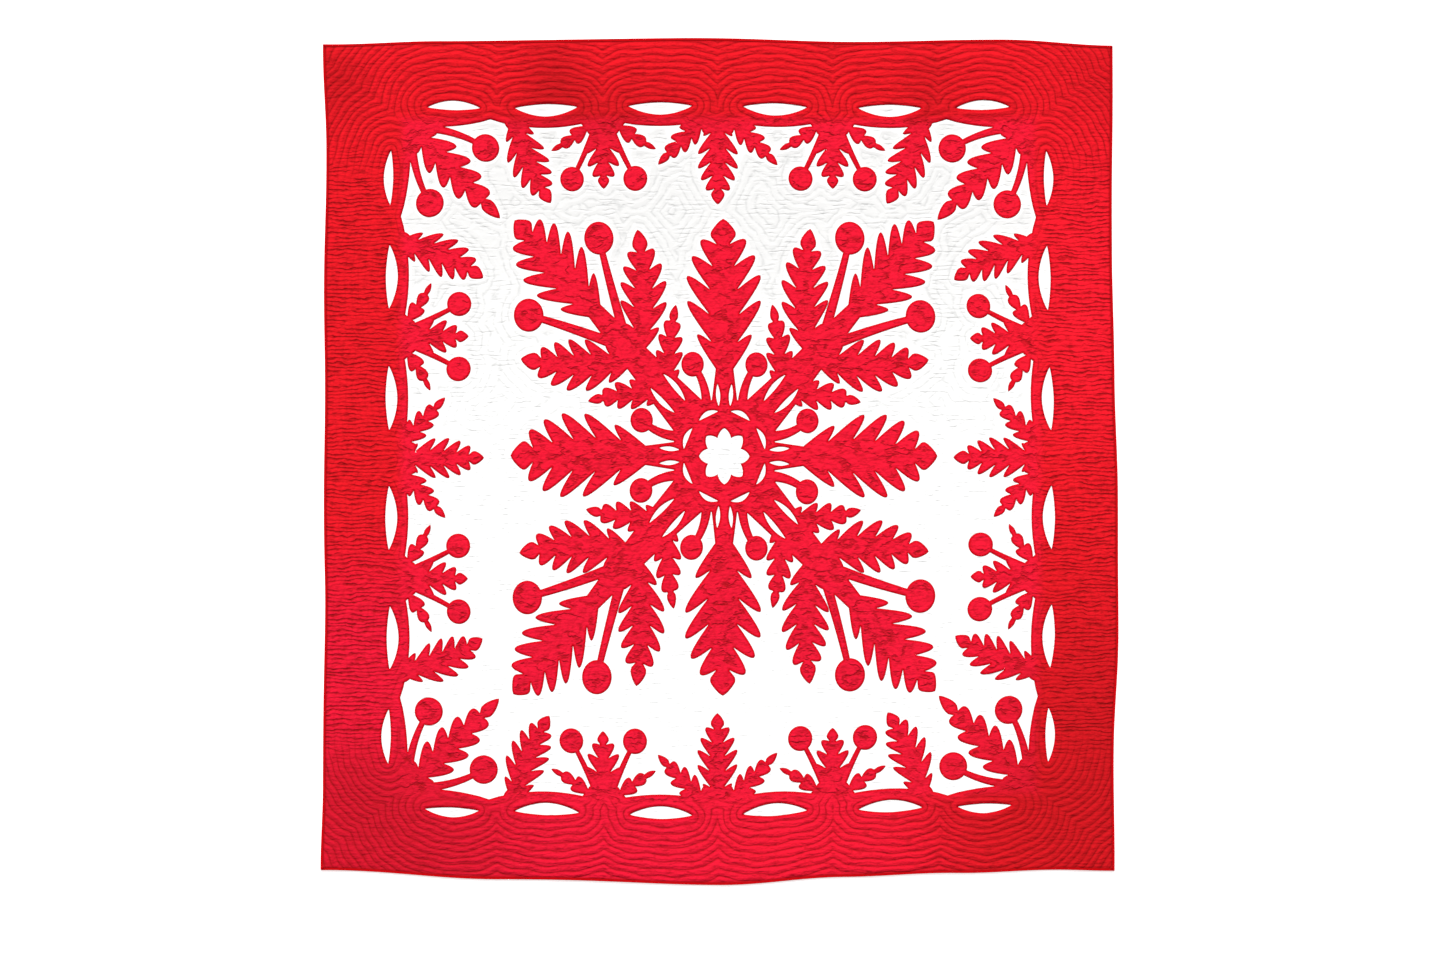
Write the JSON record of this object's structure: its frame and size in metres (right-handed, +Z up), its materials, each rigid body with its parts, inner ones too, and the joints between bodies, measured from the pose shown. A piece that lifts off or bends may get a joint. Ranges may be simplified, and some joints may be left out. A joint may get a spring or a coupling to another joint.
{
  "type": "tivaevae quilt",
  "caption": "wadded white bed cloth with a red cut-out leaf border and leaf medallion sewn on, echo quilting and a narrow red binding, lying flat",
  "frame": {"origin": "middle of the quilt's outline, on the underside that rests on the surface", "axes": "+X across the quilt to the right, +Y along its length to the top edge as displayed, +Z up out of the face"},
  "size_m": [2.2216, 2.3579, 0.0071],
  "materials": {
    "white_cotton": "plain woven cotton over wadding, hand quilted, matt",
    "red_cotton": "plain woven cotton, turned under at the edges and quilted through, matt",
    "red_binding": "folded cotton strip, smooth and matt"
  },
  "bodies": {
    "root": {"quilt_ground": "white_cotton", "border_applique": "red_cotton", "medallion_applique": "red_cotton", "binding_top": "red_binding", "binding_bottom": "red_binding", "binding_left": "red_binding", "binding_right": "red_binding"}
  },
  "joints": []
}
